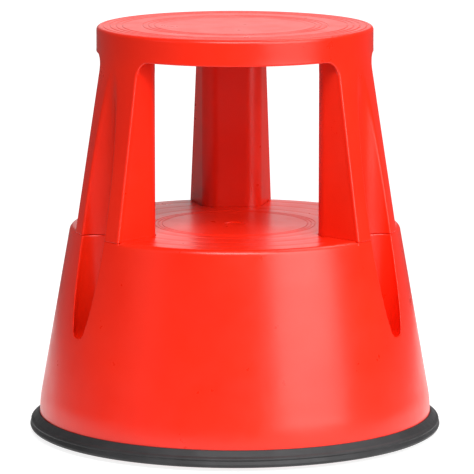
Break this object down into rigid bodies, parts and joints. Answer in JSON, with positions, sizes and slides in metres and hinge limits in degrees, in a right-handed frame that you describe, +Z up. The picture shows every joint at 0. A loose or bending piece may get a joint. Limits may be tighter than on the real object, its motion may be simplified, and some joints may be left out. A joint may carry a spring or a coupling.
{
  "type": "kick step stool",
  "caption": "Round moulded step stool with a top tread on three legs, a lower step tread on a conical base, a rubber floor ring and three sprung castors underneath.",
  "frame": {"origin": "on the floor under the middle of the stool, level with the bottom of the castor tyres", "axes": "+Z up through the middle of the top tread, one leg at +Y, the other two legs 120 degrees to each side"},
  "size_m": [0.435, 0.435, 0.43],
  "materials": {
    "red_plastic": "semi-gloss moulded",
    "grey_rubber": "matte",
    "tyre_rubber": "matte",
    "zinc_steel": "zinc plated",
    "spring_steel": "oiled",
    "black_nylon": "satin",
    "grey_nylon": "satin"
  },
  "bodies": {
    "stool": {"upper_shell": "red_plastic", "lower_shell": "red_plastic", "base_ring": "grey_rubber", "leg_1_screw_a": "zinc_steel", "leg_1_screw_b": "zinc_steel", "leg_2_screw_a": "zinc_steel", "leg_2_screw_b": "zinc_steel", "leg_3_screw_a": "zinc_steel", "leg_3_screw_b": "zinc_steel", "castor_1_socket": "black_nylon", "castor_1_bush": "grey_nylon", "castor_1_spring": "spring_steel", "castor_1_screw_a": "zinc_steel", "castor_1_screw_b": "zinc_steel", "castor_2_socket": "black_nylon", "castor_2_bush": "grey_nylon", "castor_2_spring": "spring_steel", "castor_2_screw_a": "zinc_steel", "castor_2_screw_b": "zinc_steel", "castor_3_socket": "black_nylon", "castor_3_bush": "grey_nylon", "castor_3_spring": "spring_steel", "castor_3_screw_a": "zinc_steel", "castor_3_screw_b": "zinc_steel"},
    "castor_1_slider": {"castor_1_thrust_washer": "zinc_steel"},
    "castor_1_swivel": {"castor_1_stem": "zinc_steel", "castor_1_clip": "spring_steel", "castor_1_fork": "zinc_steel", "castor_1_axle": "zinc_steel"},
    "castor_1_roller": {"castor_1_wheel": "grey_nylon", "castor_1_tyre": "tyre_rubber"},
    "castor_2_slider": {"castor_2_thrust_washer": "zinc_steel"},
    "castor_2_swivel": {"castor_2_stem": "zinc_steel", "castor_2_clip": "spring_steel", "castor_2_fork": "zinc_steel", "castor_2_axle": "zinc_steel"},
    "castor_2_roller": {"castor_2_wheel": "grey_nylon", "castor_2_tyre": "tyre_rubber"},
    "castor_3_slider": {"castor_3_thrust_washer": "zinc_steel"},
    "castor_3_swivel": {"castor_3_stem": "zinc_steel", "castor_3_clip": "spring_steel", "castor_3_fork": "zinc_steel", "castor_3_axle": "zinc_steel"},
    "castor_3_roller": {"castor_3_wheel": "grey_nylon", "castor_3_tyre": "tyre_rubber"}
  },
  "joints": [
    {"name": "castor_1_lift", "type": "slide", "parent": "stool", "child": "castor_1_slider", "axis": [0, 0, 1], "range_m": [0, 0.005], "stiffness_N_per_m": 5000, "springref_m": -0.006, "deforming": ["castor_1_spring"]},
    {"name": "castor_1_turn", "type": "hinge", "parent": "castor_1_slider", "child": "castor_1_swivel", "pos_m": [0, 0.158, 0.05], "axis": [0, 0, 1], "continuous": true},
    {"name": "castor_1_roll", "type": "hinge", "parent": "castor_1_swivel", "child": "castor_1_roller", "pos_m": [0, 0.146, 0.019], "axis": [-1, 0, 0], "continuous": true},
    {"name": "castor_2_lift", "type": "slide", "parent": "stool", "child": "castor_2_slider", "axis": [0, 0, 1], "range_m": [0, 0.005], "stiffness_N_per_m": 5000, "springref_m": -0.006, "deforming": ["castor_2_spring"]},
    {"name": "castor_2_turn", "type": "hinge", "parent": "castor_2_slider", "child": "castor_2_swivel", "pos_m": [-0.13683, -0.079, 0.05], "axis": [0, 0, 1], "continuous": true},
    {"name": "castor_2_roll", "type": "hinge", "parent": "castor_2_swivel", "child": "castor_2_roller", "pos_m": [-0.12644, -0.073, 0.019], "axis": [0.5, -0.866, 0], "continuous": true},
    {"name": "castor_3_lift", "type": "slide", "parent": "stool", "child": "castor_3_slider", "axis": [0, 0, 1], "range_m": [0, 0.005], "stiffness_N_per_m": 5000, "springref_m": -0.006, "deforming": ["castor_3_spring"]},
    {"name": "castor_3_turn", "type": "hinge", "parent": "castor_3_slider", "child": "castor_3_swivel", "pos_m": [0.13683, -0.079, 0.05], "axis": [0, 0, 1], "continuous": true},
    {"name": "castor_3_roll", "type": "hinge", "parent": "castor_3_swivel", "child": "castor_3_roller", "pos_m": [0.12644, -0.073, 0.019], "axis": [0.5, 0.866, 0], "continuous": true}
  ]
}
